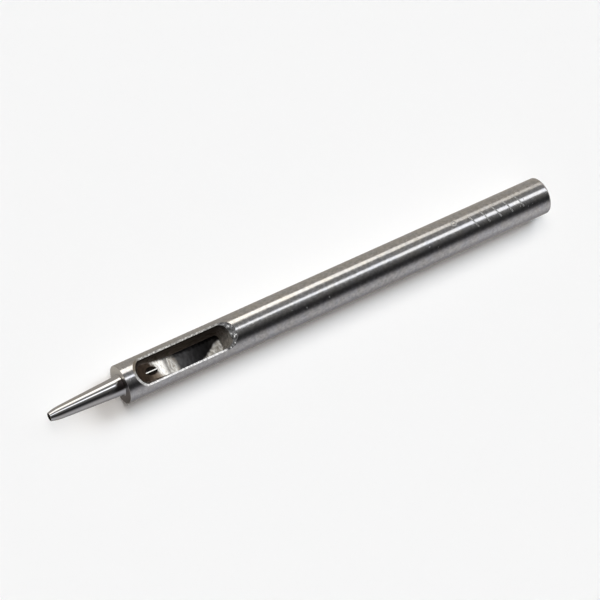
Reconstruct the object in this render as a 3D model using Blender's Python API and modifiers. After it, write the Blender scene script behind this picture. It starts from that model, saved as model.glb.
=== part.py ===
"""Hollow drive punch for small round holes in leather.

A round steel shank carries a slender conical cutting tip. The tip's bore runs back into a window
milled through the top of the shank, where the cut slugs fall out. The far end is struck.

Two solids: the shank, and the hardened tip whose spigot is pressed into the shank's socket.
The tool lies on its side along X, tip towards -X, window up. Lengths are in metres.
"""

from math import asin, cos, pi, sin, sqrt, tan

import bmesh
import bpy

MM = 0.001

# Driving dimensions. Axial stations are measured from the shoulder, towards the struck end.
SHANK_RADIUS = 4.0 * MM
SHANK_LENGTH = 101.6 * MM
STRUCK_CHAMFER_LENGTH = 0.5 * MM
STRUCK_CHAMFER_DEPTH = 0.65 * MM
SHOULDER_CHAMFER = 0.2 * MM

TIP_LENGTH = 15.6 * MM
TIP_ROOT_RADIUS = 2.05 * MM
TIP_TAPER = 0.0553              # loss of radius for each unit of length towards the edge
NOSE_LENGTH = 2.5 * MM          # the rounded run of the taper into the cutting edge
NOSE_DROP = 0.32 * MM           # how far the nose falls inside the plain taper
EDGE_BORE_RADIUS = 0.74 * MM    # half of the 1.5 mm hole it cuts
BORE_RADIUS = 0.85 * MM         # relieved bore behind the cutting edge
BORE_RELIEF_LENGTH = 3.0 * MM

SPIGOT_RADIUS = 1.25 * MM
SPIGOT_LENGTH = 2.8 * MM
FIT_GAP = 0.3 * MM              # clearance kept between the two solids

WINDOW_HALF_WIDTH = 2.5 * MM
WINDOW_FRONT = 2.45 * MM
WINDOW_REAR = 23.75 * MM
WINDOW_FRONT_RADIUS = 2.75 * MM
WINDOW_REAR_RADIUS = 1.6 * MM
LIP_WIDTH = 0.4 * MM            # eased edge round the window's mouth
LIP_DEPTH = 0.4 * MM
REAR_LIP_WIDTH = 1.2 * MM       # the coarser relief cut at the rear of the mouth
REAR_LIP_DEPTH = 0.85 * MM

FLOOR_HEIGHT = -3.2 * MM        # from the shank's axis
FLOOR_FILLET = 0.75 * MM
RAMP_CROSSING = 6.95 * MM       # station where the ramp crosses the shank's axis
RAMP_ANGLE = 28.5 * pi / 180.0

# Resolution of the round shapes.
TURNED_STEPS = 96
NOSE_STEPS = 6
FRONT_ARC_STEPS = 10
RAMP_STEPS = 6
REAR_ARC_STEPS = 6
FILLET_STEPS = 3

# The lowest facet lies flat on z = 0, and the origin is under the middle of the tool.
HALF_STEP = pi / TURNED_STEPS
AXIS_HEIGHT = SHANK_RADIUS * cos(HALF_STEP)
SHOULDER_X = TIP_LENGTH - 0.5 * (TIP_LENGTH + SHANK_LENGTH)

CUT_MARGIN = 1.0 * MM           # how far a cutter runs past the surface it opens
MERGE_DISTANCE = 0.00001


def make_collection(name):
    collection = bpy.data.collections.new(name)
    bpy.context.scene.collection.children.link(collection)
    return collection


def make_material(name, colour, roughness):
    material = bpy.data.materials.new(name)
    material.use_nodes = True
    shader = material.node_tree.nodes["Principled BSDF"]
    shader.inputs["Base Color"].default_value = (*colour, 1.0)
    shader.inputs["Metallic"].default_value = 1.0
    shader.inputs["Roughness"].default_value = roughness
    return material


def add_object(name, mesh, collection, parent):
    part = bpy.data.objects.new(name, mesh)
    collection.objects.link(part)
    part.parent = parent
    return part


def turned(name, profile, is_ring, collection, parent):
    """Turn a profile of (radius, station) points, listed from the struck end forward on its outside."""
    points = [(radius * cos(HALF_STEP), radius * sin(HALF_STEP), station) for radius, station in profile]
    edges = [(i, i + 1) for i in range(len(points) - 1)]
    if is_ring:
        edges.append((len(points) - 1, 0))
    mesh = bpy.data.meshes.new(name)
    mesh.from_pydata(points, edges, [])
    part = add_object(name, mesh, collection, parent)
    part.rotation_euler = (0.0, pi / 2.0, 0.0)
    screw = part.modifiers.new("Turn", "SCREW")
    screw.axis = "Z"
    screw.steps = TURNED_STEPS
    screw.render_steps = TURNED_STEPS
    screw.use_merge_vertices = True
    screw.merge_threshold = MERGE_DISTANCE
    screw.use_smooth_shade = True
    return part


def make_cutter(part):
    part.hide_render = True
    part.display_type = "WIRE"
    return part


def cut(part, cutter):
    boolean = part.modifiers.new("Cut " + cutter.name, "BOOLEAN")
    boolean.operation = "DIFFERENCE"
    boolean.solver = "EXACT"
    boolean.object = cutter


def tip_radius(station):
    """Outer radius of the tip: a plain taper that rounds down over the nose."""
    radius = TIP_ROOT_RADIUS + TIP_TAPER * station
    into_nose = max(0.0, NOSE_LENGTH - TIP_LENGTH - station)
    return radius - NOSE_DROP * (into_nose / NOSE_LENGTH) ** 2


def floor_height(station):
    """Height of the window's floor above the shank's axis: a ramp down from the bore, then level."""
    return max(FLOOR_HEIGHT, (RAMP_CROSSING - station) * tan(RAMP_ANGLE))


def shank_profile():
    return [
        (0.0, SHANK_LENGTH),
        (SHANK_RADIUS - STRUCK_CHAMFER_DEPTH, SHANK_LENGTH),
        (SHANK_RADIUS, SHANK_LENGTH - STRUCK_CHAMFER_LENGTH),
        (SHANK_RADIUS, SHOULDER_CHAMFER),
        (SHANK_RADIUS - SHOULDER_CHAMFER, 0.0),
        (0.0, 0.0),
    ]


def bore_profile():
    """Cutter for the socket and for the bore that leads from it to the window's ramp."""
    socket_radius = SPIGOT_RADIUS + FIT_GAP
    socket_depth = SPIGOT_LENGTH + FIT_GAP
    bore_end = RAMP_CROSSING + BORE_RADIUS / tan(RAMP_ANGLE) + CUT_MARGIN
    return [
        (0.0, bore_end),
        (BORE_RADIUS, bore_end),
        (BORE_RADIUS, socket_depth),
        (socket_radius, socket_depth),
        (socket_radius, -CUT_MARGIN),
        (0.0, -CUT_MARGIN),
    ]


def tip_profile():
    """Closed section of the tip: spigot, root face, taper, nose, cutting edge and the bore."""
    root = -FIT_GAP
    edge = -TIP_LENGTH
    outside = [
        (SPIGOT_RADIUS, SPIGOT_LENGTH),
        (SPIGOT_RADIUS, root),
        (tip_radius(root), root),
    ]
    for i in range(NOSE_STEPS + 1):
        station = edge + NOSE_LENGTH * (1.0 - i / NOSE_STEPS)
        outside.append((tip_radius(station), station))
    inside = [
        (EDGE_BORE_RADIUS, edge),
        (BORE_RADIUS, edge + BORE_RELIEF_LENGTH),
        (BORE_RADIUS, SPIGOT_LENGTH),
    ]
    return outside + inside


def window_outline(inset, front, rear, rear_radius):
    """Half of the window's plan, from the middle of its front end round to its flat rear end."""
    half_width = WINDOW_HALF_WIDTH - inset
    front_radius = WINDOW_FRONT_RADIUS - inset
    sweep = asin(half_width / front_radius)
    outline = []
    for i in range(FRONT_ARC_STEPS + 1):
        angle = sweep * i / FRONT_ARC_STEPS
        outline.append((front + front_radius * (1.0 - cos(angle)), front_radius * sin(angle)))
    side_start = outline[-1][0]
    ramp_end = RAMP_CROSSING - FLOOR_HEIGHT / tan(RAMP_ANGLE)
    for i in range(1, RAMP_STEPS + 1):
        outline.append((side_start + (ramp_end - side_start) * i / RAMP_STEPS, half_width))
    for i in range(REAR_ARC_STEPS + 1):
        angle = 0.5 * pi * i / REAR_ARC_STEPS
        along = rear - rear_radius * (1.0 - sin(angle))
        outline.append((along, half_width - rear_radius * (1.0 - cos(angle))))
    return outline


def window_rings():
    """Rings of (station, across, height) points, from above the mouth down to the floor."""
    mouth_front = WINDOW_FRONT - LIP_WIDTH
    mouth_rear = WINDOW_REAR + REAR_LIP_WIDTH
    mouth = window_outline(-LIP_WIDTH, mouth_front, mouth_rear, WINDOW_HALF_WIDTH)
    wall = window_outline(0.0, WINDOW_FRONT, WINDOW_REAR, WINDOW_REAR_RADIUS)
    rear_start = WINDOW_REAR - WINDOW_REAR_RADIUS
    lip = []
    for station, across in wall:
        rearward = max(0.0, station - rear_start) / WINDOW_REAR_RADIUS
        depth = LIP_DEPTH + (REAR_LIP_DEPTH - LIP_DEPTH) * rearward
        lip.append((station, across, sqrt(SHANK_RADIUS**2 - across**2) - depth))
    rings = [
        [(station, across, SHANK_RADIUS + CUT_MARGIN) for station, across in mouth],
        [(station, across, sqrt(SHANK_RADIUS**2 - across**2)) for station, across in mouth],
        lip,
    ]
    for i in range(FILLET_STEPS + 1):
        angle = 0.5 * pi * i / FILLET_STEPS
        inset = FLOOR_FILLET * (1.0 - cos(angle))
        rise = FLOOR_FILLET * (1.0 - sin(angle))
        outline = window_outline(inset, WINDOW_FRONT + inset, WINDOW_REAR - inset, WINDOW_REAR_RADIUS - inset)
        rings.append([(station, across, floor_height(station) + rise) for station, across in outline])
    return rings


def make_window_cutter(collection, parent):
    """Loft the window from its rings; the two halves of each ring mirror each other across Y."""
    mesh = bmesh.new()
    loops = []
    for ring in window_rings():
        near = [mesh.verts.new((station, -across, height)) for station, across, height in ring]
        far = [mesh.verts.new((station, across, height)) for station, across, height in ring[:0:-1]]
        loops.append(near + far)
    count = len(loops[0])
    for upper, lower in zip(loops, loops[1:]):
        for i in range(count):
            j = (i + 1) % count
            mesh.faces.new((upper[i], upper[j], lower[j], lower[i]))
    for loop in (loops[0], loops[-1]):
        mesh.faces.new((loop[0], loop[1], loop[-1]))
        for i in range(1, count // 2):
            mesh.faces.new((loop[i], loop[i + 1], loop[-i - 1], loop[-i]))
    bmesh.ops.recalc_face_normals(mesh, faces=mesh.faces)
    data = bpy.data.meshes.new("window_cutter")
    mesh.to_mesh(data)
    mesh.free()
    return make_cutter(add_object("window_cutter", data, collection, parent))


def main():
    for stale in list(bpy.data.objects):
        bpy.data.objects.remove(stale, do_unlink=True)

    punch = make_collection("hollow_punch")
    cutters = make_collection("cutters")
    axis = bpy.data.objects.new("punch_axis", None)
    punch.objects.link(axis)
    axis.location = (SHOULDER_X, 0.0, AXIS_HEIGHT)

    shank = turned("shank", shank_profile(), False, punch, axis)
    shank.data.materials.append(make_material("satin_steel", (0.56, 0.55, 0.54), 0.24))
    cut(shank, make_window_cutter(cutters, axis))
    cut(shank, make_cutter(turned("bore_cutter", bore_profile(), False, cutters, axis)))

    tip = turned("punch_tip", tip_profile(), True, punch, axis)
    tip.data.materials.append(make_material("polished_steel", (0.60, 0.59, 0.58), 0.12))


main()
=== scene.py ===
"""Looks of the hollow drive punch: steel that mirrors two long soft lights, on a pale sunlit table."""

import random
from collections import namedtuple
from math import asin, cos, pi, radians, sin, sqrt, tan

import bmesh
import bpy
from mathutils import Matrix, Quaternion, Vector, noise


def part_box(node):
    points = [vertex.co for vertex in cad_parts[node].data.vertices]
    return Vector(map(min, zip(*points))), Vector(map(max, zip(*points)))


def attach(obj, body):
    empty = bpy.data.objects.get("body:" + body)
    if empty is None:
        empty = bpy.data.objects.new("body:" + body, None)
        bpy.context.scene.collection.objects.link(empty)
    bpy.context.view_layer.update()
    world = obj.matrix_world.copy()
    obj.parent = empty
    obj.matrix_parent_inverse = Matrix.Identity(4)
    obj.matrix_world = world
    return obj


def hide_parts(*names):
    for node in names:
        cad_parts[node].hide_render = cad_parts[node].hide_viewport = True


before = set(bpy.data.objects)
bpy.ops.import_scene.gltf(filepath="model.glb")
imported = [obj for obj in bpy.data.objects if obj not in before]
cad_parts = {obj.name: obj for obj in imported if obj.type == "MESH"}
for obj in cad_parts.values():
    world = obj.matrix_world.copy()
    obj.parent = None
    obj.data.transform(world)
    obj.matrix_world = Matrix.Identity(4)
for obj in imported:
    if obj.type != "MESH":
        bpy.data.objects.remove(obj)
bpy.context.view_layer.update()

MM = 0.001
SHANK_LOW, SHANK_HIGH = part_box("shank")
TIP_LOW, TIP_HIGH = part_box("punch_tip")

# The tool's axis runs along X. Stations are measured from the shoulder towards the struck end.
SHOULDER_X = SHANK_LOW.x
AXIS_HEIGHT = 0.5 * (SHANK_LOW.z + SHANK_HIGH.z)
SHANK_LENGTH = SHANK_HIGH.x - SHANK_LOW.x
SHANK_RADIUS = 4.0 * MM
TIP_LENGTH = SHANK_LOW.x - TIP_LOW.x
SPIGOT_LENGTH = TIP_HIGH.x - SHANK_LOW.x

STRUCK_CHAMFER_LENGTH = 0.5 * MM
STRUCK_CHAMFER_DEPTH = 0.65 * MM
STRUCK_END_ROUND = 0.15 * MM    # how far each rounding reaches from its corner
STRUCK_SIDE_ROUND = 0.25 * MM
SHOULDER_ROUND = 0.10 * MM

TIP_ROOT_RADIUS = 2.05 * MM
TIP_TAPER = 0.0553              # loss of radius for each unit of length towards the edge
ROOT_FILLET_LENGTH = 0.9 * MM
ROOT_FILLET_RISE = 0.22 * MM
NOSE_LENGTH = 2.5 * MM
NOSE_DROP = 0.32 * MM           # how far the nose falls inside the plain taper
EDGE_BORE_RADIUS = 0.74 * MM
BORE_RADIUS = 0.85 * MM
BORE_RELIEF_LENGTH = 3.0 * MM
SPIGOT_RADIUS = 1.25 * MM
SOCKET_GAP = 0.02 * MM
SOCKET_SPARE_DEPTH = 0.3 * MM

WINDOW_HALF_WIDTH = 2.5 * MM
WINDOW_FRONT = 2.68 * MM
WINDOW_REAR = 23.75 * MM
WINDOW_FRONT_RADIUS = 2.75 * MM
WINDOW_REAR_RADIUS = 1.6 * MM
LIP_WIDTH = 0.38 * MM           # eased edge round the window's mouth
LIP_DEPTH = 0.34 * MM
FRONT_LIP_WIDTH = 0.60 * MM
REAR_LIP_WIDTH = 1.2 * MM       # the coarser relief cut at the rear of the mouth
REAR_LIP_DEPTH = 0.85 * MM
FLOOR_HEIGHT = -3.2 * MM        # from the shank's axis
FLOOR_FILLET = 0.75 * MM
REAR_FILLET_SHARE = 0.1         # reach of the fillet at the rear wall, as a share of that at the sides
RAMP_CROSSING = 6.95 * MM       # station where the ramp crosses the shank's axis
RAMP_ANGLE = radians(28.5)

# Resolution of the round shapes.
TURNED_STEPS = 384
BORE_STEPS = 97                 # few edges line up with the shank's own, so the cut comes out closed
FRONT_ARC_STEPS = 48
SIDE_STEPS = 220
REAR_ARC_STEPS = 24
REAR_FLAT_STEPS = 10
FILLET_STEPS = 8
CORNER_STEPS = 4
ROOT_FILLET_STEPS = 24
NOSE_STEPS = 24
LIP_LEVELS = 3
CUT_MARGIN = 1.0 * MM           # how far a cutter runs past the surface it opens
LIP, WALL, FLOOR = range(3)     # material picks of the window's faces
SHARP_ANGLE = radians(24)
ROUND_TOLERANCE = 0.002 * MM
WELD_DISTANCE = 0.002 * MM

# Uneven hand work on the window's edge: fine burrs all round, larger chips at the rear.
REAR_START = WINDOW_REAR - WINDOW_REAR_RADIUS
BURR_PITCH = 0.22 * MM
BURR_SIZE = 0.035 * MM
CHIP_PITCH = 0.75 * MM
CHIP_SIZE = 0.24 * MM

# Steps through the noise, so that the two sides, the layers and the depth vary on their own.
SIDE_SHIFT = 7.0
BURR_LAYER_SHIFT = 5.0
CHIP_LAYER_SHIFT = 3.0
DEPTH_SHIFT = Vector((9.0, 4.0, 2.0))

# Marks near the struck end. Angles are round the axis from the top, positive on the far side.
MARK_WIDTH = 0.34 * MM
MARK_DEPTH = 0.03 * MM
RING_STATION = 78.3 * MM
RING_ANGLE = radians(22.0)
RING_RADIUS = 0.5 * MM
RING_STEPS = 24
TICK_COUNT = 5
TICK_STATION = 82.0 * MM
TICK_PITCH = 2.9 * MM
TICK_SLANT = 1.1 * MM
TICK_HIGH = radians(24.0)
TICK_LOW = radians(-18.0)
TICK_STEPS = 16

# Handling dents, scattered over the upper side of the shank.
NICK_SEED = 5
NICK_COUNT = 14
NICK_RISE = 0.72                # how far out the ball that cuts one sits, in its own radii
NICK_STATIONS = (26.0 * MM, 98.0 * MM)
NICK_DEGREES = (-40.0, 30.0)
NICK_SIZES = (0.10 * MM, 0.22 * MM)


def at_shank(station, across, height):
    """World place of a point given by its station, and its offsets from the tool's axis."""
    return Vector((SHOULDER_X + station, across, AXIS_HEIGHT + height))


# ---------------------------------------------------------------- node helpers

class Nodes:
    """Adds nodes to one node tree, and links them by plain values or by other nodes' outputs."""

    def __init__(self, tree):
        self.tree = tree
        tree.nodes.clear()

    def connect(self, socket, value):
        if isinstance(value, bpy.types.NodeSocket):
            self.tree.links.new(value, socket)
        else:
            socket.default_value = value

    def add(self, kind, inputs=(), **settings):
        node = self.tree.nodes.new(kind)
        for name, value in settings.items():
            setattr(node, name, value)
        for key, value in dict(inputs).items():
            self.connect(node.inputs[key], value)
        return node

    def math(self, operation, first, second=0.0, third=0.0):
        node = self.add("ShaderNodeMath", {0: first, 1: second, 2: third}, operation=operation)
        return node.outputs[0]

    def product(self, first, *others):
        """All the values multiplied together."""
        for other in others:
            first = self.math("MULTIPLY", first, other)
        return first

    def vector_math(self, operation, first, second=(0.0, 0.0, 0.0), scale=1.0):
        node = self.add("ShaderNodeVectorMath", {0: first, 1: second, 3: scale}, operation=operation)
        return node.outputs[0]

    def map_range(self, value, low, high, to_low=0.0, to_high=1.0, smooth=True):
        kind = "SMOOTHSTEP" if smooth else "LINEAR"
        inputs = {"Value": value, "From Min": low, "From Max": high, "To Min": to_low, "To Max": to_high}
        return self.add("ShaderNodeMapRange", inputs, interpolation_type=kind).outputs["Result"]

    def fade_in(self, value, span, faintest=0.0):
        """Ease from the faintest value at the span's start to 1 at its end."""
        return self.map_range(value, span[0], span[1], faintest, 1.0)

    def fade_out(self, value, span, faintest=0.0):
        """Ease from 1 at the span's start to the faintest value at its end."""
        return self.map_range(value, span[1], span[0], faintest, 1.0)

    def change(self, value, start, end):
        """Ease between two (value, result) pairs."""
        return self.map_range(value, start[0], end[0], start[1], end[1])

    def ramp(self, value, stops):
        """Colour ramp; stops are (position, colour) pairs."""
        node = self.add("ShaderNodeValToRGB", {"Fac": value})
        elements = node.color_ramp.elements
        while len(elements) < len(stops):
            elements.new(0.5)
        for element, (position, colour) in zip(elements, stops):
            element.position = position
            element.color = (*colour, 1.0)
        return node.outputs["Color"]

    def noise(self, vector, scale, detail=2.0, roughness=0.5):
        inputs = {"Vector": vector, "Scale": scale, "Detail": detail, "Roughness": roughness}
        return self.add("ShaderNodeTexNoise", inputs).outputs["Fac"]

    def stretched(self, vector, scale, turn=0.0):
        """The vector turned about Z and scaled, so that noise read from it runs in streaks."""
        inputs = {"Vector": vector, "Rotation": (0.0, 0.0, turn), "Scale": scale}
        return self.add("ShaderNodeMapping", inputs).outputs[0]

    def mix_colour(self, factor, first, second, blend="MIX"):
        node = self.add("ShaderNodeMix", data_type="RGBA", blend_type=blend)
        for index, value in ((0, factor), (6, first), (7, second)):
            if isinstance(value, tuple) and len(value) == 3:
                value = (*value, 1.0)
            self.connect(node.inputs[index], value)
        return node.outputs[2]

    def tint(self, first, second):
        """Two colours multiplied."""
        return self.mix_colour(1.0, first, second, "MULTIPLY")


# ---------------------------------------------------------------- materials
# Stations, offsets across (positive on the far side) and heights are in millimetres here, and
# spans of them are (start, end) pairs. Noise scales are in cells per metre.

UPWARDS = (0.0, 0.05, 1.0)
UPWARDS_FORWARD = (-0.2, 0.05, 1.0)
UPWARDS_NEARWARD = (-0.22, -0.25, 0.94)

TURNING_SCALE = 2600.0
TURNING_STRETCH = (1.0, 0.15, 0.15)
BLOTCH_SCALE = 1500.0
CAST_SCALE = 420.0
PIT_SCALE = 3800.0
PIT_SPAN = (0.68, 0.76)
TURNING_RELIEF = 0.35
BLOTCH_RELIEF = 0.65
PIT_RELIEF = 0.6

# Painted shade on top of the tip's root, a dark reflection of the shoulder face painted into its colour.
PAINTED_SHADE_FAR_SIDE = (0.60, 0.78)
PAINTED_SHADE_NEAR_SIDE = (-1.45, -1.05)
PAINTED_SHADE_FULL = -1.2               # the station where it is darkest
PAINTED_SHADE_START = -2.05
PAINTED_SHADE_NEAR_START = -5.0
PAINTED_SHADE_LAG = 0.65                # how much later it starts on its far side
PAINTED_SHADE_ROUGHNESS = 0.4

# Painted shade on the ground lip: darker on its far side, at its front, and brownish on its far front.
LIP_FAR_SIDE = (-1.5, 0.8)
LIP_FRONT = (3.0, 5.2)
LIP_FRONT_SHADE = 0.62
FAR_FRONT_SHADE_SIDE = (0.3, 1.0)
FAR_FRONT_SHADE_FRONT = (3.6, 5.0)
CHIPS_NEAR_START = (-1.5, 21.3)     # offset across and station
CHIPS_FAR_START = (1.5, 22.0)
CHIPS_FADE = (0.0, 1.0)

# Window wall: painted light on the near part of the rear wall; painted shade under the lip and, along the
# wall, towards the rear.
REAR_WALL = (22.6, 23.7)
REAR_WALL_FAR_SIDE = (-1.5, 1.7)
REAR_WALL_FAINTEST = 0.06
UNDER_LIP = (0.4, 1.9)
UNDER_LIP_SHADE = 0.42
WALL_FRONT_TONE = (14.0, 1.15)      # station and tone
WALL_REAR_TONE = (20.0, 0.75)

SMEAR_SCALE = 1500.0
SMEAR_TURN = radians(25.0)
SMEAR_STRETCH = (1.0, 0.45, 1.0)
SMEAR_SHIFT = 1.2               # how far the smears drag the patches along
# Painted reflections on the window's floor: where they lie on the ramp, on the level next to it, in the rear
# corner, and in a dimmer patch near the ramp's near side.
WEDGE_SIDE = (0.3, 1.8)
WEDGE_SHIFT = 0.95              # how much earlier the ramp's patch starts on the far side
FOOT_SIDE = (-1.8, -0.8)
FOOT_SHIFT = -0.5
RAMP_PATCH_START = (7.6, 9.4)
RAMP_PATCH_END = (10.1, 11.2)
RAMP_PATCH_FAR_SIDE = (1.1, 2.0)
LEVEL_PATCH_START = (10.2, 12.0)
LEVEL_PATCH_END = (12.7, 13.9)
CORNER_STATION = 22.2           # where the rear corner's slanting edge crosses the middle
CORNER_SLOPE = 0.60
CORNER_REACH = 0.35             # how far the patch reaches across to the far side
CORNER_EDGE = (-0.45, 0.5)
CORNER_END = (23.45, 23.75)
NEAR_PATCH_SIDE = (-1.2, -0.5)
NEAR_PATCH_START = (5.6, 8.8)
NEAR_PATCH_END = (9.0, 10.0)
FLOOR_TONES = (4.0, 22.0)       # stations between which the floor's painted shade changes
RAMP_FOOT = (10.6, 11.4)

# Painted highlight inside the bore: the offset across of its line, the line's soft edge, and where it
# starts.
BORE_LINE_ACROSS = 0.08
BORE_LINE_EDGE = (0.06, 0.12)
BORE_LINE_START = (2.0, 3.0)

# Painted shade on the shoulder face, darker towards its lower near side: the slant of its gradient and its
# span.
SHOULDER_SLANT = 0.35
SHOULDER_TONES = (-3.4, 3.2)


def new_material(name):
    material = bpy.data.materials.new(name)
    material.use_nodes = True
    return material, Nodes(material.node_tree)


def finish_steel(nodes, base, rough, normal):
    shader = nodes.add("ShaderNodeBsdfPrincipled", {
        "Base Color": base, "Metallic": 1.0, "Roughness": rough, "Normal": normal,
    })
    nodes.add("ShaderNodeOutputMaterial", {"Surface": shader.outputs["BSDF"]})


Place = namedtuple("Place", "point station across height")


def tool_place(nodes):
    """Where a point is: its object coordinates in metres, the rest in millimetres."""
    point = nodes.add("ShaderNodeTexCoord").outputs["Object"]
    axes = nodes.add("ShaderNodeSeparateXYZ", {"Vector": point}).outputs
    station = nodes.math("DIVIDE", nodes.math("SUBTRACT", axes["X"], SHOULDER_X), MM)
    across = nodes.math("DIVIDE", axes["Y"], MM)
    height = nodes.math("DIVIDE", nodes.math("SUBTRACT", axes["Z"], AXIS_HEIGHT), MM)
    return Place(point, station, across, height)


def facing(nodes, aim, place, scale, wobble):
    """Normal of ground facets that all face the same way, broken up by noise."""
    scatter = nodes.add("ShaderNodeTexNoise", {"Vector": place, "Scale": scale, "Detail": 2.0})
    centred = nodes.vector_math("SUBTRACT", scatter.outputs["Color"], (0.5, 0.5, 0.5))
    spread = nodes.vector_math("SCALE", centred, scale=wobble)
    summed = nodes.vector_math("ADD", spread, aim)
    world = nodes.add("ShaderNodeVectorTransform", {"Vector": summed}, vector_type="NORMAL")
    world.convert_from = "OBJECT"
    world.convert_to = "WORLD"
    return nodes.vector_math("NORMALIZE", world.outputs[0])


def painted_shade_area(nodes, station, across):
    """1 where shade is painted on top of the tip's root, fading out forwards and to both sides."""
    lag = nodes.map_range(across, -0.25, 0.75, 0.0, PAINTED_SHADE_LAG)
    start = nodes.map_range(across, -0.2, -0.8, PAINTED_SHADE_START, PAINTED_SHADE_NEAR_START)
    length = nodes.map_range(nodes.math("SUBTRACT", station, lag), start, PAINTED_SHADE_FULL)
    return nodes.product(
        nodes.fade_out(across, PAINTED_SHADE_FAR_SIDE), nodes.fade_in(across, PAINTED_SHADE_NEAR_SIDE), length)


def steel_material(name, colour, roughness, mottle, relief_height, painted_shade=None):
    """Bare turned steel: fine turning lines, mottling, a bluish cast in patches, and small pits.

    mottle is how much the tone varies, relief_height the height of the bumps, and painted_shade
    the colour of the shade painted on top of the tip's root.
    """
    material, nodes = new_material(name)
    at = tool_place(nodes)
    turning = nodes.noise(nodes.stretched(at.point, TURNING_STRETCH), TURNING_SCALE, 2.0, 0.6)
    blotch = nodes.noise(at.point, BLOTCH_SCALE, 3.0, 0.65)
    cast = nodes.noise(at.point, CAST_SCALE)
    pits = nodes.fade_in(nodes.noise(at.point, PIT_SCALE, 1.0), PIT_SPAN)

    tone = nodes.map_range(blotch, 0.3, 0.7, 1.0 - mottle, 1.0 + mottle)
    warm = tuple(channel * tint for channel, tint in zip(colour, (1.01, 1.0, 0.985)))
    cool = tuple(channel * tint for channel, tint in zip(colour, (0.975, 0.99, 1.03)))
    base = nodes.tint(nodes.ramp(cast, [(0.35, warm), (0.65, cool)]), tone)
    rough = nodes.map_range(blotch, 0.3, 0.7, roughness * 0.85, roughness * 1.25)
    # Painted shade on top of the tip's root, which is also made rougher there.
    if painted_shade:
        area = painted_shade_area(nodes, at.station, at.across)
        base = nodes.mix_colour(area, base, painted_shade)
        rough = nodes.math("MULTIPLY_ADD", area, PAINTED_SHADE_ROUGHNESS, rough)
    relief = nodes.math("MULTIPLY_ADD", turning, TURNING_RELIEF, nodes.product(blotch, BLOTCH_RELIEF))
    relief = nodes.math("SUBTRACT", relief, nodes.product(pits, PIT_RELIEF))
    bump = nodes.add("ShaderNodeBump", {"Strength": 1.0, "Distance": relief_height, "Height": relief})
    finish_steel(nodes, base, rough, bump.outputs["Normal"])
    return material


def lip_material():
    """Ground edge round the window: bright facets facing up, with painted shade on the far side, at the
    front and, brownish, on the far front; chipped behind, with painted glints.
    """
    material, nodes = new_material("ground_lip")
    at = tool_place(nodes)
    grit = nodes.noise(at.point, 2600.0, 3.0, 0.7)
    # The far side's darker tone is painted shade.
    near_tone = nodes.ramp(grit, [
        (0.30, (0.30, 0.30, 0.30)),
        (0.50, (0.56, 0.545, 0.525)),
        (0.70, (0.76, 0.74, 0.71)),
    ])
    far_tone = nodes.ramp(grit, [
        (0.34, (0.13, 0.125, 0.115)),
        (0.50, (0.27, 0.26, 0.24)),
        (0.68, (0.58, 0.56, 0.52)),
    ])
    base = nodes.mix_colour(nodes.fade_in(at.across, LIP_FAR_SIDE), near_tone, far_tone)
    # Painted shade at the front of the lip, and brownish painted shade on its far front.
    front = nodes.product(nodes.fade_out(at.station, LIP_FRONT), LIP_FRONT_SHADE)
    base = nodes.mix_colour(front, base, (0.16, 0.155, 0.145))
    far_front_shade = nodes.product(
        nodes.fade_out(at.station, FAR_FRONT_SHADE_FRONT), nodes.fade_in(at.across, FAR_FRONT_SHADE_SIDE))
    base = nodes.mix_colour(far_front_shade, base, (0.13, 0.11, 0.085))

    chips_start = nodes.change(at.across, CHIPS_NEAR_START, CHIPS_FAR_START)
    rear = nodes.fade_in(nodes.math("SUBTRACT", at.station, chips_start), CHIPS_FADE)
    # Tones of the chipped rear; its brightest specks are painted glints.
    chips_and_glints = nodes.ramp(nodes.noise(at.point, 1900.0, 2.0, 0.6), [
        (0.36, (0.035, 0.034, 0.032)),
        (0.55, (0.11, 0.108, 0.105)),
        (0.64, (0.20, 0.195, 0.19)),
        (0.72, (0.9, 0.88, 0.84)),
    ])
    base = nodes.mix_colour(rear, base, chips_and_glints)
    finish_steel(nodes, base, 0.15, facing(nodes, UPWARDS, at.point, 2200.0, 0.12))
    return material


def wall_material():
    """Sides of the window: dark, brown, barely finished steel, with painted shade under the lip and towards
    the rear, and painted light on the near part of the rear wall.
    """
    material, nodes = new_material("window_wall")
    at = tool_place(nodes)
    streaks = nodes.noise(nodes.stretched(at.point, (0.3, 1.0, 1.0)), 2200.0, 3.0)
    dark = nodes.ramp(streaks, [(0.3, (0.14, 0.11, 0.085)), (0.7, (0.34, 0.29, 0.25))])
    # Painted shade: darker under the lip, and darker towards the rear than at the front.
    painted_depth_shade = nodes.fade_out(at.height, UNDER_LIP, UNDER_LIP_SHADE)
    painted_length_shade = nodes.change(at.station, WALL_FRONT_TONE, WALL_REAR_TONE)
    dark = nodes.tint(dark, nodes.product(painted_depth_shade, painted_length_shade))
    # Painted light on the near part of the rear wall.
    painted_rear_light = nodes.ramp(streaks, [(0.35, (0.45, 0.40, 0.35)), (0.7, (0.85, 0.79, 0.71))])
    near = nodes.fade_out(at.across, REAR_WALL_FAR_SIDE, REAR_WALL_FAINTEST)
    base = nodes.mix_colour(nodes.product(nodes.fade_in(at.station, REAR_WALL), near), dark, painted_rear_light)
    finish_steel(nodes, base, 0.55, facing(nodes, UPWARDS_NEARWARD, at.point, 2200.0, 0.15))
    return material


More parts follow.
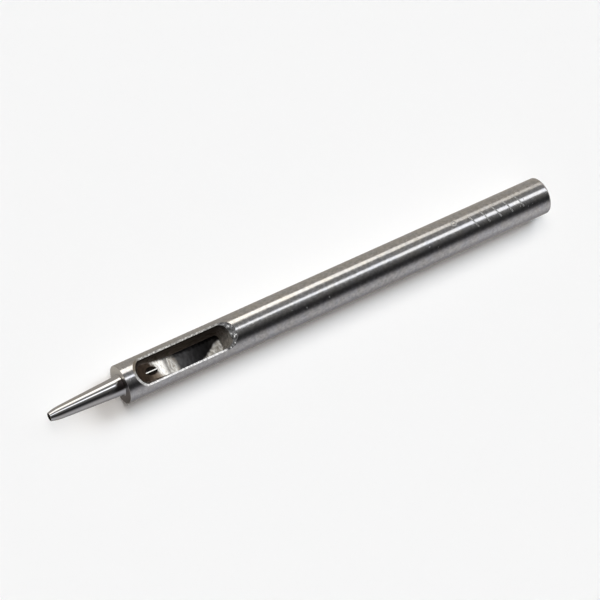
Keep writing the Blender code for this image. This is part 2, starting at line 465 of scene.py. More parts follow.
def painted_reflection_areas(nodes, station, across, smear, cloud):
    """Where painted reflections brighten the floor: on the ramp, on the level next to it, in the rear
    corner, and in a dimmer patch.
    """
    shift = nodes.product(nodes.math("SUBTRACT", smear, 0.5), SMEAR_SHIFT)
    along = nodes.math("ADD", station, shift)
    wedge = nodes.product(nodes.fade_in(across, WEDGE_SIDE), WEDGE_SHIFT)
    foot = nodes.product(nodes.fade_out(across, FOOT_SIDE), FOOT_SHIFT)
    from_start = nodes.math("ADD", along, nodes.math("ADD", wedge, foot))
    ramp = nodes.product(
        nodes.fade_in(from_start, RAMP_PATCH_START), nodes.fade_out(along, RAMP_PATCH_END),
        nodes.fade_out(across, RAMP_PATCH_FAR_SIDE, 0.1))
    level = nodes.product(
        nodes.fade_in(along, LEVEL_PATCH_START), nodes.fade_out(along, LEVEL_PATCH_END),
        nodes.map_range(cloud, 0.30, 0.62, 0.5, 1.0))
    edge = nodes.product(nodes.math("SUBTRACT", along, CORNER_STATION), CORNER_SLOPE)
    below = nodes.math("SUBTRACT", nodes.math("MINIMUM", edge, CORNER_REACH), across)
    corner = nodes.product(
        nodes.fade_in(below, CORNER_EDGE), nodes.map_range(cloud, 0.25, 0.65, 0.55, 1.0),
        nodes.fade_out(station, CORNER_END))
    near_patch = nodes.product(
        nodes.fade_out(across, NEAR_PATCH_SIDE), nodes.fade_in(along, NEAR_PATCH_START), nodes.fade_out(along, NEAR_PATCH_END))
    return ramp, level, corner, near_patch


def floor_material():
    """Floor of the window: painted reflections brighten it on the ramp and in the rear corner, painted shade
    darkens it between.
    """
    material, nodes = new_material("window_floor")
    at = tool_place(nodes)
    smear = nodes.noise(nodes.stretched(at.point, SMEAR_STRETCH, SMEAR_TURN), SMEAR_SCALE, 3.0, 0.6)
    cloud = nodes.noise(at.point, 800.0)
    ramp, level, corner, near_patch = painted_reflection_areas(nodes, at.station, at.across, smear, cloud)

    # Painted shade: the floor's dark tone, changing along it and darkest near the rear wall.
    shaded_floor = nodes.ramp(nodes.map_range(at.station, *FLOOR_TONES, smooth=False), [
        (0.0, (0.020, 0.014, 0.010)),
        (0.25, (0.040, 0.029, 0.021)),
        (0.50, (0.046, 0.045, 0.044)),
        (0.64, (0.027, 0.026, 0.026)),
        (0.78, (0.0095, 0.0090, 0.0090)),
        (0.92, (0.0042, 0.0039, 0.0038)),
        (1.0, (0.0075, 0.0068, 0.0062)),
    ])
    shaded_floor = nodes.tint(shaded_floor, nodes.map_range(smear, 0.3, 0.7, 0.7, 1.3))
    # Painted light: a dimmer patch near the ramp's near side.
    shaded_floor = nodes.mix_colour(near_patch, shaded_floor, (0.15, 0.12, 0.09))
    # Painted reflections: bright on the ramp and the level next to it, brownish in the rear corner.
    shine = nodes.ramp(smear, [
        (0.30, (0.24, 0.20, 0.16)),
        (0.50, (0.46, 0.44, 0.40)),
        (0.70, (0.72, 0.70, 0.66)),
    ])
    brightest = nodes.ramp(smear, [(0.32, (0.50, 0.47, 0.42)), (0.6, (0.78, 0.76, 0.72))])
    corner_reflection = nodes.ramp(smear, [
        (0.34, (0.12, 0.108, 0.088)),
        (0.50, (0.27, 0.25, 0.215)),
        (0.66, (0.50, 0.475, 0.425)),
    ])
    shine = nodes.mix_colour(corner, nodes.mix_colour(ramp, shine, brightest), corner_reflection)
    painted_reflection = nodes.math("ADD", ramp, nodes.math("ADD", level, corner))
    base = nodes.mix_colour(nodes.math("MINIMUM", painted_reflection, 1.0), shaded_floor, shine)

    keen = facing(nodes, UPWARDS_FORWARD, at.point, 1800.0, 0.08)
    plain = facing(nodes, UPWARDS_FORWARD, at.point, 1800.0, 0.10)
    on_level = nodes.fade_in(at.station, RAMP_FOOT)
    normal = nodes.add("ShaderNodeMix", {0: on_level, 4: keen, 5: plain}, data_type="VECTOR").outputs[1]
    finish_steel(nodes, base, 0.17, normal)
    return material


def bore_material():
    """Inside of the bore: painted nearly black shade, with one thin painted highlight along it, past its
    first few millimetres.
    """
    material, nodes = new_material("bore")
    at = tool_place(nodes)
    rings = nodes.noise(at.point, 3000.0)
    # Painted shade: the inside is nearly black.
    dark = nodes.ramp(rings, [(0.3, (0.006, 0.005, 0.004)), (0.7, (0.014, 0.011, 0.009))])
    # Painted highlight: a thin bright line along the bore.
    off_line = nodes.math("ABSOLUTE", nodes.math("SUBTRACT", at.across, BORE_LINE_ACROSS))
    line = nodes.product(
        nodes.fade_out(off_line, BORE_LINE_EDGE), nodes.fade_in(at.station, BORE_LINE_START))
    base = nodes.mix_colour(line, dark, (1.0, 0.98, 0.93))
    finish_steel(nodes, base, 0.3, facing(nodes, UPWARDS, at.point, 2500.0, 0.2))
    return material


def shoulder_material():
    """Flat face round the tip: polished, with painted shade darkening it towards its lower near side."""
    material, nodes = new_material("shoulder_face")
    at = tool_place(nodes)
    # Painted shade and light: darker low on the near side, lighter high on the far side.
    slant = nodes.math("ADD", at.across, nodes.product(at.height, SHOULDER_SLANT))
    base = nodes.ramp(nodes.map_range(slant, *SHOULDER_TONES, smooth=False), [
        (0.0, (0.088, 0.069, 0.066)),
        (0.30, (0.20, 0.185, 0.185)),
        (0.60, (0.45, 0.44, 0.43)),
        (1.0, (0.92, 0.90, 0.86)),
    ])
    rings = nodes.noise(at.point, 1500.0)
    bump = nodes.add("ShaderNodeBump", {"Strength": 1.0, "Distance": 0.004 * MM, "Height": rings})
    finish_steel(nodes, base, 0.3, bump.outputs["Normal"])
    return material


def etched_material():
    """Shallow marks: pale, matt, scratchy bottoms."""
    material, nodes = new_material("etched_mark")
    place = nodes.add("ShaderNodeTexCoord").outputs["Object"]
    grit = nodes.noise(place, 3600.0, 2.0, 0.7)
    base = nodes.ramp(grit, [(0.38, (0.24, 0.24, 0.235)), (0.62, (0.62, 0.62, 0.61))])
    shader = nodes.add("ShaderNodeBsdfPrincipled", {"Base Color": base, "Metallic": 0.8, "Roughness": 0.45})
    nodes.add("ShaderNodeOutputMaterial", {"Surface": shader.outputs["BSDF"]})
    return material



# ---------------------------------------------------------------- geometry

def mesh_object(name, bm, materials):
    """New object in the scene, made from the mesh under construction."""
    bmesh.ops.recalc_face_normals(bm, faces=bm.faces)
    mesh = bpy.data.meshes.new(name)
    bm.to_mesh(mesh)
    bm.free()
    for material in materials:
        mesh.materials.append(material)
    thing = bpy.data.objects.new(name, mesh)
    bpy.context.scene.collection.objects.link(thing)
    return thing


def turned(name, profile, materials, picks, steps=TURNED_STEPS):
    """Closed solid turned about the tool's axis from (radius, station) points.

    It is a ring if no radius is 0. picks gives the material index of the face that follows a point.
    """
    bm = bmesh.new()
    rings = []
    for radius, station in profile:
        count = steps if radius > 0.0 else 1
        angles = [2.0 * pi * i / steps for i in range(count)]
        rings.append([bm.verts.new(at_shank(station, radius * sin(a), radius * cos(a))) for a in angles])
    is_ring = len(rings[0]) > 1
    followers = rings[1:] + rings[:1] if is_ring else rings[1:]
    for pick, first, second in zip(picks, rings, followers):
        for i in range(steps):
            j = (i + 1) % steps
            corners = [
                first[i % len(first)], first[j % len(first)],
                second[j % len(second)], second[i % len(second)],
            ]
            bm.faces.new(list(dict.fromkeys(corners))).material_index = pick
    return mesh_object(name, bm, materials)


def rounded_corner(before, corner, after, size):
    """Points that round a profile's corner, size being how far they reach along each side."""
    corner, before, after = Vector(corner), Vector(before), Vector(after)
    start = corner + (before - corner).normalized() * size
    end = corner + (after - corner).normalized() * size
    points = []
    for i in range(CORNER_STEPS + 1):
        t = i / CORNER_STEPS
        point = start * (1 - t) ** 2 + corner * 2 * t * (1 - t) + end * t**2
        points.append((point.x, point.y))
    return points


def floor_height(station):
    """Height of the window's floor above the shank's axis: a ramp down from the bore, then level."""
    return max(FLOOR_HEIGHT, (RAMP_CROSSING - station) * tan(RAMP_ANGLE))


def window_outline(inset, front, rear, rear_radius):
    """Half of the window's plan, from the middle of its front end round to the middle of its rear."""
    half_width = WINDOW_HALF_WIDTH - inset
    front_radius = WINDOW_FRONT_RADIUS - inset
    sweep = asin(half_width / front_radius)
    outline = []
    for i in range(FRONT_ARC_STEPS + 1):
        angle = sweep * i / FRONT_ARC_STEPS
        outline.append((front + front_radius * (1.0 - cos(angle)), front_radius * sin(angle)))
    side_start = outline[-1][0]
    side_end = rear - rear_radius
    for i in range(1, SIDE_STEPS):
        outline.append((side_start + (side_end - side_start) * i / SIDE_STEPS, half_width))
    for i in range(REAR_ARC_STEPS + 1):
        angle = 0.5 * pi * i / REAR_ARC_STEPS
        outline.append((side_end + rear_radius * sin(angle), half_width - rear_radius * (1.0 - cos(angle))))
    flat_half = outline[-1][1]
    for i in range(1, REAR_FLAT_STEPS):
        outline.append((rear, flat_half * (1.0 - i / REAR_FLAT_STEPS)))
    return outline


def rearward(station):
    """0 along the window, rising to 1 at its rear end."""
    return min(1.0, max(0.0, station - REAR_START) / WINDOW_REAR_RADIUS)


def burr(station, across, side, layer):
    """Uneven tool work: how far an edge point strays outwards and how much deeper it lies."""
    fine = Vector((
        station / BURR_PITCH, side * SIDE_SHIFT + across / BURR_PITCH, layer * BURR_LAYER_SHIFT))
    coarse = Vector((station / CHIP_PITCH, side * across / CHIP_PITCH, layer * CHIP_LAYER_SHIFT))
    small = BURR_SIZE * noise.noise(fine)
    chip = CHIP_SIZE * rearward(station)
    return small + chip * noise.noise(coarse), small + chip * noise.noise(coarse + DEPTH_SHIFT)


def pushed(outline, side, layer):
    """The outline strayed outwards by its burrs; gives (station, across, extra depth) points."""
    points = []
    for i, (station, across) in enumerate(outline):
        before = Vector(outline[max(0, i - 1)])
        after = Vector(outline[min(len(outline) - 1, i + 1)])
        run = (after - before).normalized()
        stray, depth = burr(station, across, side, layer)
        points.append((station - run.y * stray, across + run.x * stray, depth))
    return points


def mouth_ring(side):
    """Outer edge of the eased lip, on the shank's surface."""
    outline = window_outline(
        -LIP_WIDTH, WINDOW_FRONT - FRONT_LIP_WIDTH, WINDOW_REAR + REAR_LIP_WIDTH, WINDOW_HALF_WIDTH)
    points = pushed(outline, side, 0)
    return [(station, across, sqrt(SHANK_RADIUS**2 - across**2)) for station, across, depth in points]


def lip_ring(side):
    """Inner edge of the eased lip, where the window's wall starts."""
    ring = []
    outline = window_outline(0.0, WINDOW_FRONT, WINDOW_REAR, WINDOW_REAR_RADIUS)
    for station, across, sink in pushed(outline, side, 1):
        rough = rearward(station)
        depth = LIP_DEPTH + (REAR_LIP_DEPTH - LIP_DEPTH) * rough + sink
        ring.append((station, across, sqrt(SHANK_RADIUS**2 - across**2) - depth))
    return ring


def between(first, second, side):
    """Ring half way down the lip, with its own unevenness at the rear."""
    ring = []
    for one, two in zip(first, second):
        station, across, height = (0.5 * (a + b) for a, b in zip(one, two))
        stray, depth = burr(station, across, side, 2)
        rough = rearward(station)
        ring.append((station + stray * rough, across, height - depth * rough))
    return ring


def floor_ring(step):
    """One level of the fillet between the window's wall and its floor; the last is the floor's edge."""
    angle = 0.5 * pi * step / FILLET_STEPS
    inset = FLOOR_FILLET * (1.0 - cos(angle))
    rise = FLOOR_FILLET * (1.0 - sin(angle))
    rear = WINDOW_REAR - REAR_FILLET_SHARE * inset
    outline = window_outline(inset, WINDOW_FRONT + inset, rear, WINDOW_REAR_RADIUS - inset)
    return [(station, across, floor_height(station) + rise) for station, across in outline]


def window_side(side):
    """Rings of one half of the window, from above its mouth down to its floor."""
    mouth = mouth_ring(side)
    lip = lip_ring(side)
    above = [(station, across, SHANK_RADIUS + CUT_MARGIN) for station, across, height in mouth]
    levels = [above, mouth, between(mouth, lip, side), lip]
    levels += [floor_ring(step) for step in range(FILLET_STEPS + 1)]
    return levels


def window_cutter(lip, wall, floor):
    """Loft of the window's rings, with the materials of its lip, wall and floor."""
    bm = bmesh.new()
    loops = []
    for near_level, far_level in zip(window_side(-1.0), window_side(1.0)):
        near = [bm.verts.new(at_shank(x, -y, z)) for x, y, z in near_level]
        far = [bm.verts.new(at_shank(x, y, z)) for x, y, z in far_level[:0:-1]]
        loops.append(near + far)
    count = len(loops[0])
    for level, (upper, lower) in enumerate(zip(loops, loops[1:])):
        for i in range(count):
            j = (i + 1) % count
            face = bm.faces.new((upper[i], upper[j], lower[j], lower[i]))
            face.material_index = LIP if level < LIP_LEVELS else WALL
    # The points of the flat rear end lie on one line, so a single face closes them on each cap.
    last = count // 2 - REAR_FLAT_STEPS - 1
    for loop in (loops[0], loops[-1]):
        bm.faces.new((loop[0], loop[1], loop[-1])).material_index = FLOOR
        for i in range(1, last):
            bm.faces.new((loop[i], loop[i + 1], loop[-i - 1], loop[-i])).material_index = FLOOR
        bm.faces.new(loop[last:count - last + 1]).material_index = FLOOR
    return mesh_object("window_cutter", bm, [lip, wall, floor])


def stroke_cutter(points, material, is_closed=False):
    """Shallow groove along a line of (station, angle) points on the shank's surface."""
    bm = bmesh.new()
    count = len(points)
    sections = []
    for i, (station, angle) in enumerate(points):
        before = points[i - 1] if i or is_closed else points[i]
        after = points[(i + 1) % count] if i < count - 1 or is_closed else points[i]
        run = Vector((after[0] - before[0], SHANK_RADIUS * (after[1] - before[1]))).normalized()
        section = []
        for half in (0.5, -0.5):
            x = station - half * MARK_WIDTH * run.y
            turn = angle + half * MARK_WIDTH * run.x / SHANK_RADIUS
            for radius in (SHANK_RADIUS - MARK_DEPTH, SHANK_RADIUS + MARK_DEPTH):
                section.append(bm.verts.new(at_shank(x, radius * sin(turn), radius * cos(turn))))
        sections.append(section)
    pairs = list(zip(sections, sections[1:]))
    if is_closed:
        pairs.append((sections[-1], sections[0]))
    for (a, b, c, d), (e, f, g, h) in pairs:
        bm.faces.new((a, b, f, e))
        bm.faces.new((b, d, h, f))
        bm.faces.new((d, c, g, h))
        bm.faces.new((c, a, e, g))
    if not is_closed:
        for a, b, c, d in (sections[0], sections[-1]):
            bm.faces.new((a, b, d, c))
    return mesh_object("stroke", bm, [material])


def nick_cutter(station, angle, size, material):
    """Small dent in the surface, a squashed ball."""
    bm = bmesh.new()
    bmesh.ops.create_icosphere(bm, subdivisions=2, radius=size)
    radius = SHANK_RADIUS + NICK_RISE * size
    for vert in bm.verts:
        vert.co = at_shank(station, radius * sin(angle), radius * cos(angle)) + vert.co
    return mesh_object("nick", bm, [material])


def cut(piece, cutters):
    """Subtract the cutters, keep their materials on the new faces, and weld the slivers shut."""
    for cutter in cutters:
        boolean = piece.modifiers.new("cut", "BOOLEAN")
        boolean.operation = "DIFFERENCE"
        boolean.solver = "EXACT"
        boolean.material_mode = "TRANSFER"
        boolean.object = cutter
    graph = bpy.context.evaluated_depsgraph_get()
    mesh = bpy.data.meshes.new_from_object(piece.evaluated_get(graph))
    piece.modifiers.clear()
    piece.data = mesh
    bm = bmesh.new()
    bm.from_mesh(mesh)
    bmesh.ops.remove_doubles(bm, verts=bm.verts, dist=WELD_DISTANCE)
    bmesh.ops.dissolve_degenerate(bm, edges=bm.edges, dist=WELD_DISTANCE)
    bm.to_mesh(mesh)
    bm.free()
    for cutter in cutters:
        bpy.data.objects.remove(cutter, do_unlink=True)


def smooth(piece, round_radius=0.0):
    """Shade smooth between sharp edges, and exactly round on the cylinder of the given radius."""
    mesh = piece.data
    mesh.shade_smooth()
    mesh.set_sharp_from_angle(angle=SHARP_ANGLE)
    normals = [corner.vector.copy() for corner in mesh.corner_normals]
    for face in mesh.polygons:
        spokes = []
        for index in face.vertices:
            point = mesh.vertices[index].co
            spokes.append(Vector((0.0, point.y, point.z - AXIS_HEIGHT)))
        if all(abs(spoke.length - round_radius) < ROUND_TOLERANCE for spoke in spokes):
            for loop, spoke in zip(face.loop_indices, spokes):
                normals[loop] = spoke.normalized()
    mesh.normals_split_custom_set(normals)


# ---------------------------------------------------------------- pieces

def shank_body(steel, face):
    """Turned bar with a rounded struck end and a crisp shoulder."""
    struck = SHANK_LENGTH
    end_corner = (SHANK_RADIUS - STRUCK_CHAMFER_DEPTH, struck)
    side_corner = (SHANK_RADIUS, struck - STRUCK_CHAMFER_LENGTH)
    shoulder = (SHANK_RADIUS, 0.0)
    profile = [(0.0, struck)]
    profile += rounded_corner((0.0, struck), end_corner, side_corner, STRUCK_END_ROUND)
    profile += rounded_corner(end_corner, side_corner, shoulder, STRUCK_SIDE_ROUND)
    profile += rounded_corner(side_corner, shoulder, (0.0, 0.0), SHOULDER_ROUND)
    profile.append((0.0, 0.0))
    picks = [0] * (len(profile) - 2) + [1]
    return turned("shank_body", profile, [steel, face], picks)


def bore_cutter(material):
    """Socket for the spigot, and the bore from it to the ramp."""
    socket_radius = SPIGOT_RADIUS + SOCKET_GAP
    socket_depth = SPIGOT_LENGTH + SOCKET_SPARE_DEPTH
    bore_end = RAMP_CROSSING + BORE_RADIUS / tan(RAMP_ANGLE) + CUT_MARGIN
    profile = [
        (0.0, bore_end), (BORE_RADIUS, bore_end), (BORE_RADIUS, socket_depth),
        (socket_radius, socket_depth), (socket_radius, -CUT_MARGIN), (0.0, -CUT_MARGIN),
    ]
    return turned("bore_cutter", profile, [material], [0] * (len(profile) - 1), BORE_STEPS)


def mark_cutters(material):
    """Generic marks near the struck end: a plain ring and a row of slanted ticks."""
    ring = []
    for i in range(RING_STEPS):
        turn = 2.0 * pi * i / RING_STEPS
        angle = RING_ANGLE + RING_RADIUS * sin(turn) / SHANK_RADIUS
        ring.append((RING_STATION + RING_RADIUS * cos(turn), angle))
    cutters = [stroke_cutter(ring, material, is_closed=True)]
    for i in range(TICK_COUNT):
        station = TICK_STATION + TICK_PITCH * i
        tick = []
        for step in range(TICK_STEPS + 1):
            part = step / TICK_STEPS
            tick.append((station + TICK_SLANT * part, TICK_HIGH + (TICK_LOW - TICK_HIGH) * part))
        cutters.append(stroke_cutter(tick, material))
    return cutters


def nick_cutters(material):
    """A few handling dents scattered over the upper side of the shank."""
    dice = random.Random(NICK_SEED)
    cutters = []
    for i in range(NICK_COUNT):
        station = dice.uniform(*NICK_STATIONS)
        angle = radians(dice.uniform(*NICK_DEGREES))
        cutters.append(nick_cutter(station, -angle, dice.uniform(*NICK_SIZES), material))
    return cutters


def make_shank(steel, etched):
    """Bar with its window, bore, marks and dents cut."""
    shank = shank_body(steel, shoulder_material())
    window = window_cutter(lip_material(), wall_material(), floor_material())
    bore = bore_cutter(bore_material())
    cut(shank, [window, bore] + mark_cutters(etched) + nick_cutters(steel))
    smooth(shank, SHANK_RADIUS)
    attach(shank, "root")
    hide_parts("shank")
    return shank


def tip_radius(station):
    """Outer radius of the tip: a plain taper that rounds down over the nose."""
    radius = TIP_ROOT_RADIUS + TIP_TAPER * station
    into_nose = max(0.0, NOSE_LENGTH - TIP_LENGTH - station)
    return radius - NOSE_DROP * (into_nose / NOSE_LENGTH) ** 2


def make_tip(steel, bore):
    """Tip with a small fillet at its root, a rounded nose, and its bore."""
    root = -SOCKET_GAP
    edge = -TIP_LENGTH
    outside = [(SPIGOT_RADIUS, SPIGOT_LENGTH), (SPIGOT_RADIUS, root)]
    for i in range(ROOT_FILLET_STEPS + 1):
        angle = 0.5 * pi * i / ROOT_FILLET_STEPS
        station = root - ROOT_FILLET_LENGTH * (1.0 - cos(angle))
        outside.append((tip_radius(station) + ROOT_FILLET_RISE * (1.0 - sin(angle)), station))
    for i in range(NOSE_STEPS + 1):
        station = edge + NOSE_LENGTH * (1.0 - i / NOSE_STEPS)
        outside.append((tip_radius(station), station))
    inside = [
        (EDGE_BORE_RADIUS, edge),
        (BORE_RADIUS, edge + BORE_RELIEF_LENGTH),
        (BORE_RADIUS, SPIGOT_LENGTH),
    ]
    picks = [0] * len(outside) + [1] * len(inside)
    tip = turned("cutting_tip", outside + inside, [steel, bore], picks)
    smooth(tip)
    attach(tip, "root")
    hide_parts("punch_tip")


# ---------------------------------------------------------------- studio

# The camera and the studio are rolled together about the tool's axis, so that the window leans
# towards the camera although it faces straight up from the table.
STUDIO_ROLL = radians(37.2)
VIEW_AZIMUTH = radians(-72.56)
VIEW_ELEVATION = radians(65.61)
VIEW_ROLL = radians(46.68)
VIEW_DISTANCE = 0.4774
VIEW_LENS = 143.43
VIEW_AIM = Vector((-1.3 * MM, 0.68 * MM, 4.0 * MM))

PALE = (0.93, 0.93, 0.93)
TABLE_REACH = 3.0
TABLE_GAP = 0.01 * MM

# What the round steel sees as it looks round the tool's axis, in degrees from level on the camera's
# side, over the top (90), to level on the far side (180): brightness and tint at each angle.
SURROUNDINGS = [
    (-180.0, 0.38, (1.06, 1.00, 0.90)),
    (-131.0, 0.34, (1.06, 1.00, 0.92)),
    (-96.0, 0.27, (1.01, 0.99, 1.00)),
    (-80.0, 0.31, (1.00, 0.99, 1.02)),
    (-60.0, 0.45, (1.00, 0.99, 1.02)),
    (-45.0, 0.49, (1.00, 0.99, 1.01)),
    (-30.0, 0.45, (1.00, 0.99, 1.01)),
    (-17.0, 0.31, (1.00, 0.98, 1.01)),
    (-9.0, 0.14, (1.00, 0.98, 1.02)),
    (0.0, 0.045, (1.00, 1.00, 1.02)),
    (12.0, 0.025, (1.00, 1.00, 1.02)),
    (20.0, 0.035, (1.00, 1.00, 1.00)),
    (30.0, 0.075, (1.02, 1.00, 0.98)),
    (40.0, 0.13, (1.02, 1.00, 0.98)),
    (50.0, 0.21, (1.01, 1.00, 0.99)),
    (57.0, 0.27, (1.00, 1.00, 1.00)),
    (80.0, 0.25, (1.00, 1.00, 1.00)),
    (92.0, 0.23, (1.02, 1.00, 0.98)),
    (134.0, 0.38, (1.08, 1.00, 0.90)),
    (180.0, 0.38, (1.06, 1.00, 0.90)),
]

# In the studio, along is how far a direction points to the struck end, from -1 to 1. The edges of
# the two long lights, in degrees, and their strengths change between two (along, value) pairs.
KEY_LOW_EDGE = ((0.32, 95.0), (0.395, 102.7))
KEY_HIGH_EDGE = ((0.38, 124.4), (0.47, 122.8))
KEY_STRENGTH = ((0.39, 1.6), (0.485, 0.45))
KEY_TINT = (1.0, 0.965, 0.90)
FILL_LOW_EDGE = ((0.38, 58.5), (0.47, 54.0))
FILL_WIDENING = ((0.36, 0.0), (0.22, 3.0))      # how much lower its low edge comes towards the tip
FILL_HIGH_EDGE = ((0.38, 69.3), (0.47, 74.0))
FILL_STRENGTH = ((0.30, 1.6), (0.40, 1.35))
FILL_TINT = (0.97, 0.99, 1.03)
LONG_LIGHTS_ALONG = (-0.9, -0.75)
LOW_EDGE_SPAN = (-2.5, 3.0)
HIGH_EDGE_SPAN = (-3.0, 2.5)

# The surroundings are a little brighter towards the struck end, low on the camera's side, and
# darker ahead of the tip.
END_GLOW_ALONG = (0.44, 0.475)
END_GLOW_DEGREES = (60.0, 80.0)
END_GLOW = 0.16
AHEAD_ALONG = (-0.9, -0.7)
AHEAD_RISE = (-0.3, 0.05)
AHEAD_SHADE = 0.45

OVERHEAD = (-0.2, 0.1, 4.0)
OVERHEAD_FRONT = (3.4, 0.6, 4.0)
FAR_SIDE = (-0.2, 2.05, 4.0)
FAR_SIDE_FRONT = (3.4, 2.05, 4.0)
LOW_FRONT = (6.0, 1.4, 4.0)
CONTACT = (1.0, 0.45, 4.0)
STRAIGHT_UP = (0.0, 0.0, 1.0)

WHITE = (1.0, 1.0, 1.0)
BLUISH = (0.93, 1.01, 1.07)
SKY = (0.80, 1.0, 1.20)
AMBER = (1.08, 1.0, 0.92)
WARM_WHITE = (1.015, 1.0, 0.985)
WARM = (1.095, 0.99, 0.90)

# Distant lights: name, direction towards it, share of the table's light, spread in degrees, colour.
# The slender tip throws only a faint shadow, so most of the light is blocked by the shank alone.
SHANK_SUNS = [
    ("overhead", OVERHEAD, 0.20, 24.0, WHITE),
    ("overhead_front", OVERHEAD_FRONT, 0.13, 22.0, BLUISH),
    ("low_front", LOW_FRONT, 0.08, 20.0, SKY),
    ("far_side", FAR_SIDE, 0.13, 28.0, AMBER),
    ("far_side_front", FAR_SIDE_FRONT, 0.20, 28.0, WARM_WHITE),
    ("contact", CONTACT, 0.02, 12.0, WARM_WHITE),
]
EDGE_SUNS = [
    ("overhead_edge", OVERHEAD, 0.08, 26.0, WHITE),
    ("far_side_edge", FAR_SIDE, 0.05, 30.0, WARM_WHITE),
]
BOUNCE_SUN = ("bounce", STRAIGHT_UP, 0.11, 5.0, WARM)


def long_light(nodes, degrees, low, high, strength):
    """Brightness of a long soft light that fills the angles between low and high."""
    rise = nodes.fade_in(nodes.math("SUBTRACT", degrees, low), LOW_EDGE_SPAN)
    fall = nodes.fade_out(nodes.math("SUBTRACT", degrees, high), HIGH_EDGE_SPAN)
    return nodes.product(rise, fall, strength)


def room_colour(nodes, along, upward, degrees):
    """Dim surroundings, brighter towards the struck end and darker ahead of the tip."""
    turn = nodes.map_range(degrees, -180.0, 180.0, smooth=False)
    stops = [((a + 180.0) / 360.0, tuple(grey * c for c in tint)) for a, grey, tint in SURROUNDINGS]
    glow = nodes.product(nodes.fade_in(along, END_GLOW_ALONG), nodes.fade_out(degrees, END_GLOW_DEGREES))
    room = nodes.tint(nodes.ramp(turn, stops), nodes.math("MULTIPLY_ADD", glow, END_GLOW, 1.0))
    ahead = nodes.product(nodes.fade_out(along, AHEAD_ALONG), nodes.fade_in(upward, AHEAD_RISE))
    return nodes.mix_colour(nodes.product(ahead, AHEAD_SHADE), room, (0.0, 0.0, 0.0))


def long_lights(nodes, along, degrees):
    """Colours of the warm key light above the far side, and of the cooler fill above the near side."""
    reach = nodes.fade_in(along, LONG_LIGHTS_ALONG)
    key = long_light(
        nodes, degrees, nodes.change(along, *KEY_LOW_EDGE), nodes.change(along, *KEY_HIGH_EDGE),
        nodes.product(nodes.change(along, *KEY_STRENGTH), reach))
    widening = nodes.change(along, *FILL_WIDENING)
    fill_low = nodes.math("SUBTRACT", nodes.change(along, *FILL_LOW_EDGE), widening)
    fill = long_light(
        nodes, degrees, fill_low, nodes.change(along, *FILL_HIGH_EDGE),
        nodes.product(nodes.change(along, *FILL_STRENGTH), reach))
    return nodes.tint(KEY_TINT, key), nodes.tint(FILL_TINT, fill)


def make_world():
    """Studio seen in reflections, and a plain pale backdrop for the camera."""
    world = bpy.data.worlds.new("studio")
    bpy.context.scene.world = world
    world.use_nodes = True
    nodes = Nodes(world.node_tree)
    direction = nodes.add("ShaderNodeTexCoord").outputs["Generated"]
    level = nodes.add("ShaderNodeVectorRotate", {
        "Vector": direction, "Axis": (1.0, 0.0, 0.0), "Angle": STUDIO_ROLL,
    }, rotation_type="AXIS_ANGLE")
    axes = nodes.add("ShaderNodeSeparateXYZ", {"Vector": level.outputs["Vector"]}).outputs
    along = axes["X"]
    angle = nodes.math("ARCTAN2", axes["Z"], nodes.product(axes["Y"], -1.0))
    degrees = nodes.product(angle, 180.0 / pi)

    lit = room_colour(nodes, along, axes["Z"], degrees)
    for light in long_lights(nodes, along, degrees):
        lit = nodes.mix_colour(1.0, lit, light, "ADD")
    surroundings = nodes.add("ShaderNodeBackground", {"Color": lit, "Strength": 1.0})
    backdrop = nodes.add("ShaderNodeBackground", {"Color": (*PALE, 1.0), "Strength": 1.0})
    path = nodes.add("ShaderNodeLightPath")
    seen = nodes.add("ShaderNodeMixShader", {
        0: path.outputs["Is Camera Ray"], 1: surroundings.outputs[0], 2: backdrop.outputs[0],
    })
    nodes.add("ShaderNodeOutputWorld", {"Surface": seen.outputs[0]})
    world.cycles_visibility.diffuse = False


def make_floor():
    """White table under the tool; the steel does not mirror it, the studio stands in for it."""
    material, nodes = new_material("white_table")
    place = nodes.add("ShaderNodeTexCoord").outputs["Object"]
    weave = nodes.noise(place, 900.0, 3.0, 0.6)
    base = nodes.tint(PALE, nodes.map_range(weave, 0.2, 0.8, 0.998, 1.002))
    shader = nodes.add("ShaderNodeBsdfPrincipled", {
        "Base Color": base, "Roughness": 0.9, "Specular IOR Level": 0.0,
    })
    nodes.add("ShaderNodeOutputMaterial", {"Surface": shader.outputs["BSDF"]})
    bm = bmesh.new()
    bmesh.ops.create_grid(bm, x_segments=1, y_segments=1, size=TABLE_REACH)
    floor = mesh_object("table", bm, [material])
    floor.location.z = AXIS_HEIGHT - SHANK_RADIUS - TABLE_GAP
    floor.visible_glossy = False


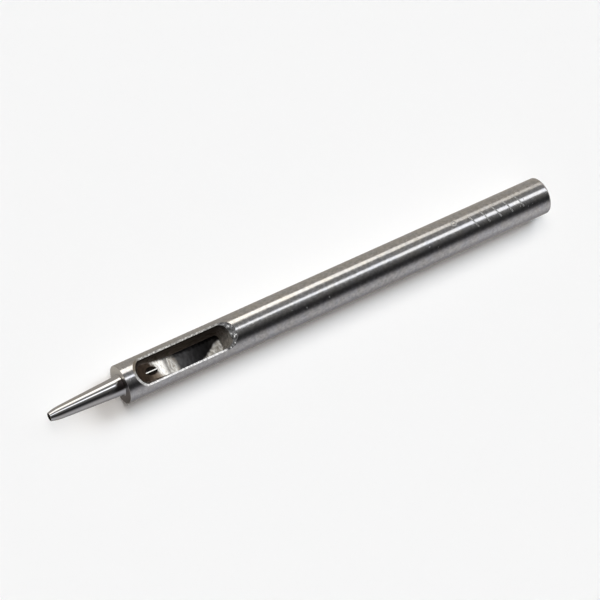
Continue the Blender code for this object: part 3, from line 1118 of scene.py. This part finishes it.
def add_sun(name, towards, share, spread, colour, blockers=None):
    """Distant light; share is its part of the light that falls on the table.

    Only the blockers throw its shadow: every piece if they are None, and nothing if they are empty.
    """
    direction = Vector(towards).normalized()
    lamp = bpy.data.lights.new(name, "SUN")
    lamp.energy = share * pi / direction.z
    lamp.angle = radians(spread)
    lamp.color = colour
    lamp.use_shadow = blockers != []
    sun = bpy.data.objects.new(name, lamp)
    bpy.context.scene.collection.objects.link(sun)
    sun.rotation_mode = "QUATERNION"
    sun.rotation_quaternion = direction.to_track_quat("Z", "Y")
    sun.visible_glossy = False
    if blockers:
        collection = bpy.data.collections.new(name + "_blockers")
        for blocker in blockers:
            collection.objects.link(blocker)
        sun.light_linking.blocker_collection = collection


def make_suns(shank):
    for sun in SHANK_SUNS:
        add_sun(*sun, [shank])
    for sun in EDGE_SUNS:
        add_sun(*sun)
    add_sun(*BOUNCE_SUN, [])


def make_camera():
    camera = bpy.data.objects.new("camera", bpy.data.cameras.new("camera"))
    bpy.context.scene.collection.objects.link(camera)
    bpy.context.scene.camera = camera
    camera.data.lens = VIEW_LENS
    back = Vector((
        sin(VIEW_AZIMUTH) * cos(VIEW_ELEVATION),
        -cos(VIEW_AZIMUTH) * cos(VIEW_ELEVATION),
        sin(VIEW_ELEVATION),
    ))
    camera.location = VIEW_AIM + VIEW_DISTANCE * back
    camera.rotation_mode = "QUATERNION"
    camera.rotation_quaternion = (-back).to_track_quat("-Z", "Y") @ Quaternion((0.0, 0.0, 1.0), VIEW_ROLL)


bpy.context.scene.view_settings.view_transform = "Standard"
make_camera()
make_world()
make_floor()
satin = steel_material(
    "satin_steel", (0.60, 0.59, 0.58), roughness=0.14, mottle=0.10, relief_height=0.005 * MM)
# The polished tip carries painted shade on top of its root.
polished = steel_material(
    "polished_steel", (0.64, 0.63, 0.62), roughness=0.08, mottle=0.03, relief_height=0.001 * MM,
    painted_shade=(0.055, 0.047, 0.045))
shank = make_shank(satin, etched_material())
make_tip(polished, bore_material())
make_suns(shank)
